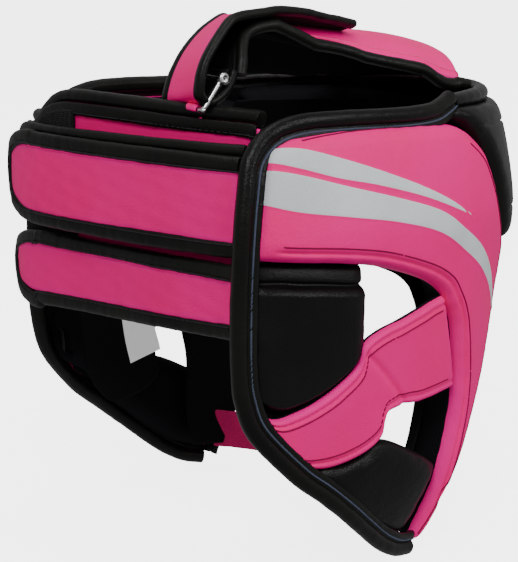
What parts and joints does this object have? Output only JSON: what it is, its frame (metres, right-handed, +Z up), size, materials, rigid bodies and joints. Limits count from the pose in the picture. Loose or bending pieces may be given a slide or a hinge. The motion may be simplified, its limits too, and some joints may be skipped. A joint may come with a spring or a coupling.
{
  "type": "sparring head guard",
  "caption": "Padded open-face head guard with cheek columns, ear bands, crown flap and hook-and-loop straps across the back.",
  "frame": {"origin": "the head seat: the middle of the crown flap's underside, where it rests on the wearer's head", "axes": "+Z up as worn, -Y the way the wearer faces, -X the wearer's right"},
  "size_m": [0.192, 0.2194, 0.2467],
  "materials": {
    "pink_vinyl": "hot pink synthetic leather, semi-gloss, fine grain",
    "black_vinyl": "black synthetic leather, semi-gloss, fine grain",
    "black_binding": "black rolled edge binding, stitched",
    "lining_cloth": "black matt lining cloth",
    "loop_cloth": "black loop pile of a hook-and-loop closure",
    "ring_steel": "bright steel wire",
    "label_cloth": "white woven label, blank"
  },
  "bodies": {
    "root": {"side_panel_right": "pink_vinyl", "side_panel_left": "pink_vinyl", "side_lining_right": "lining_cloth", "side_lining_left": "lining_cloth", "forehead_pad": "black_vinyl", "forehead_lining": "lining_cloth", "ear_pad_right": "black_vinyl", "ear_pad_left": "black_vinyl", "ear_band_right": "pink_vinyl", "ear_band_left": "pink_vinyl", "jaw_pad_right": "black_vinyl", "jaw_pad_left": "black_vinyl", "edge_binding_right": "black_binding", "edge_binding_left": "black_binding", "forehead_rim_binding": "black_binding", "back_panel": "pink_vinyl", "back_binding": "black_binding", "loop_patch": "loop_cloth", "rear_strap_upper": "pink_vinyl", "rear_strap_upper_binding": "black_binding", "rear_strap_lower": "pink_vinyl", "rear_strap_lower_binding": "black_binding", "rear_flap": "black_vinyl", "rear_flap_binding": "black_binding", "crown_flap": "pink_vinyl", "crown_flap_binding_left": "black_binding", "crown_flap_binding_right": "black_binding", "crown_strap": "pink_vinyl", "crown_strap_binding_left": "black_binding", "crown_strap_binding_right": "black_binding", "strap_ring": "ring_steel", "ring_tab": "pink_vinyl", "care_label": "label_cloth", "chin_strap": "pink_vinyl"}
  },
  "joints": []
}
